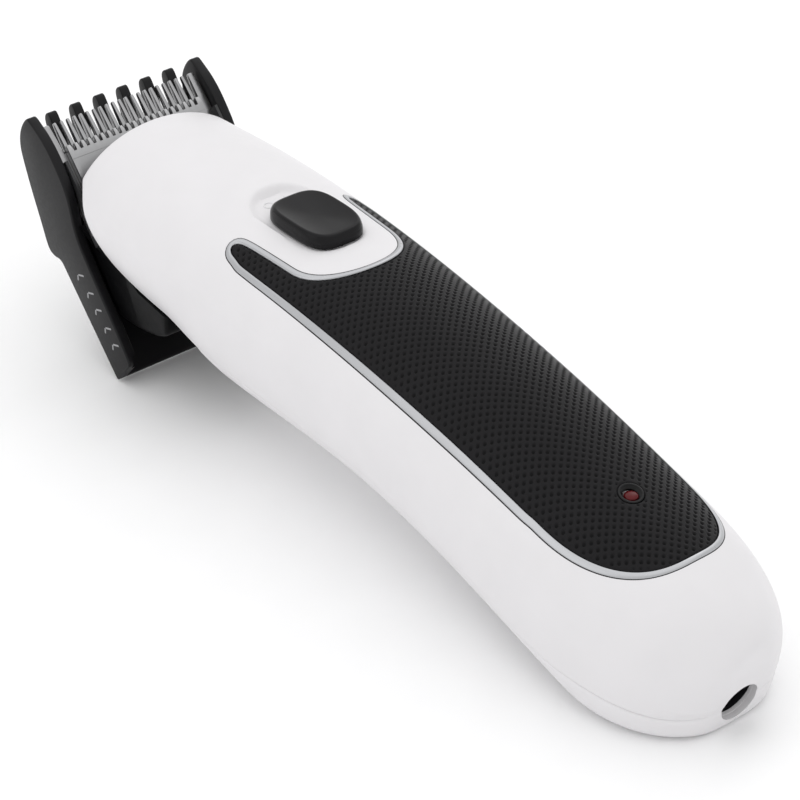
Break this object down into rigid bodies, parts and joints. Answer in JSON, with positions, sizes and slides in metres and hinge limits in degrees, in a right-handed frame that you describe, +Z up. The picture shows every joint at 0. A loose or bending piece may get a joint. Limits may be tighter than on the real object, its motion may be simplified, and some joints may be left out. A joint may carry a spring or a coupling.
{
  "type": "hair clipper",
  "caption": "Cordless hair clipper with a white banana-shaped body, black ribbed grip, slide switch, toothed steel blades and an adjustable attachment comb.",
  "frame": {"origin": "centre of the bounding box at the table, under the clipper as it lies on the comb's heel and the tail", "axes": "+X across the width, +Y along the handle to the blades, +Z up from the table"},
  "size_m": [0.0412, 0.1842, 0.0484],
  "materials": {
    "upper_shell": "satin white moulding",
    "lower_shell": "satin white moulding",
    "head_cover": "black semi-gloss moulding",
    "grip_pad": "black elastomer with a fine diamond pattern",
    "trim_ring": "silver plated trim",
    "led_lens": "dark red lens",
    "circuit_board": "green laminate",
    "led_body": "clear resin",
    "switch_body": "dark moulding",
    "switch_button": "black moulding with a dished rest",
    "switch_slider": "natural moulding",
    "dc_jack": "black socket",
    "cell_left": "sleeved cell",
    "cell_right": "sleeved cell",
    "cell_tabs": "nickel strip",
    "cell_cradle": "grey moulding",
    "motor_can": "drawn steel",
    "motor_cap": "black end cap",
    "motor_bracket": "grey moulding",
    "motor_leads": "insulated wire",
    "motor_shaft": "ground steel",
    "eccentric": "white acetal",
    "fixed_blade": "ground steel",
    "moving_blade": "ground steel",
    "drive_yoke": "black acetal",
    "blade_carrier": "black moulding",
    "blade_screws": "plated screws",
    "blade_spring": "spring steel",
    "guide_comb": "black semi-gloss moulding",
    "comb_detents": "steel",
    "housing_screws": "plated screws"
  },
  "bodies": {
    "housing": {"upper_shell": "upper_shell", "lower_shell": "lower_shell", "head_cover": "head_cover", "grip_pad": "grip_pad", "trim_ring": "trim_ring", "led_lens": "led_lens", "circuit_board": "circuit_board", "led_body": "led_body", "switch_body": "switch_body", "dc_jack": "dc_jack", "cell_left": "cell_left", "cell_right": "cell_right", "cell_tabs": "cell_tabs", "cell_cradle": "cell_cradle", "motor_can": "motor_can", "motor_cap": "motor_cap", "motor_bracket": "motor_bracket", "motor_leads": "motor_leads", "fixed_blade": "fixed_blade", "blade_carrier": "blade_carrier", "blade_screws": "blade_screws", "blade_spring": "blade_spring", "comb_detents": "comb_detents", "housing_screws": "housing_screws"},
    "switch": {"switch_button": "switch_button", "switch_slider": "switch_slider"},
    "rotor": {"motor_shaft": "motor_shaft", "eccentric": "eccentric"},
    "cutter": {"moving_blade": "moving_blade", "drive_yoke": "drive_yoke"},
    "comb": {"guide_comb": "guide_comb"}
  },
  "joints": [
    {"name": "comb_slide", "type": "slide", "parent": "housing", "child": "comb", "axis": [0, 0.6691, 0.7431], "range_m": [0, 0.0152]},
    {"name": "switch_slide", "type": "slide", "parent": "housing", "child": "switch", "axis": [0, 1, 0], "range_m": [0, 0.005]},
    {"name": "cutter_slide", "type": "slide", "parent": "housing", "child": "cutter", "axis": [1, 0, 0], "range_m": [-0.0012, 0.0012]},
    {"name": "motor_spin", "type": "hinge", "parent": "housing", "child": "rotor", "pos_m": [0, 0.06061, 0.03], "axis": [0, 1, 0], "continuous": true}
  ]
}
